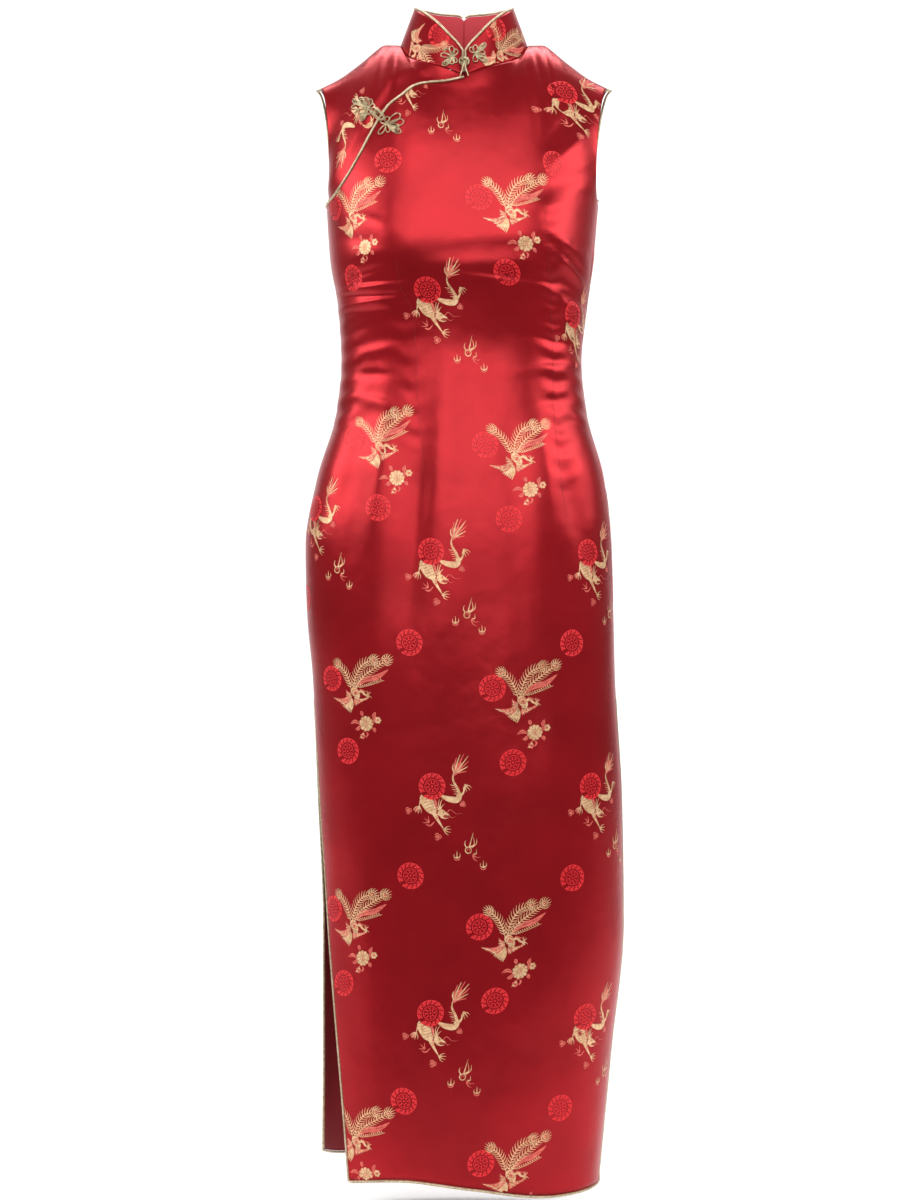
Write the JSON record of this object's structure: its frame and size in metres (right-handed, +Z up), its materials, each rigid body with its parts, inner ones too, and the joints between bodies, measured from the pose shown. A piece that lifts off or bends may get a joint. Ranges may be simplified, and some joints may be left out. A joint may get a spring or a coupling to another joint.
{
  "type": "evening dress",
  "caption": "Long sleeveless satin brocade evening dress, stand collar, piped diagonal opening with looped frog fastenings, fitted body and side slits, filled out and hollow.",
  "frame": {"origin": "midway between the two points where the shoulder seams meet the neckline, where the wearer's shoulders hold the dress", "axes": "+Z up, from the hem to the collar; the front faces -Y; the wearer's left is +X"},
  "size_m": [0.3814, 0.2385, 1.414],
  "materials": {
    "satin_brocade": "satin with a soft wide sheen, woven with gold and bright red motifs",
    "collar_brocade": "the same satin outside, matt crimson lining inside",
    "gold_piping": "pale gold lame bias binding, soft metallic sheen",
    "frog_cord": "pale gold lame tube, soft metallic sheen"
  },
  "bodies": {
    "root": {"front_panel": "satin_brocade", "under_front": "satin_brocade", "back_right": "satin_brocade", "back_left": "satin_brocade", "collar_right": "collar_brocade", "collar_left": "collar_brocade", "collar_piping_right": "gold_piping", "collar_piping_left": "gold_piping", "opening_piping": "gold_piping", "armhole_piping_right": "gold_piping", "armhole_piping_left": "gold_piping", "front_edge_piping": "gold_piping", "back_edge_piping_right": "gold_piping", "back_edge_piping_left": "gold_piping", "chest_frog_flower_upper": "frog_cord", "chest_frog_flower_lower": "frog_cord", "chest_frog_knot": "frog_cord", "chest_frog_loop": "frog_cord", "collar_frog_flower_right": "frog_cord", "collar_frog_flower_left": "frog_cord", "collar_frog_knot": "frog_cord", "collar_frog_loop": "frog_cord"}
  },
  "joints": []
}
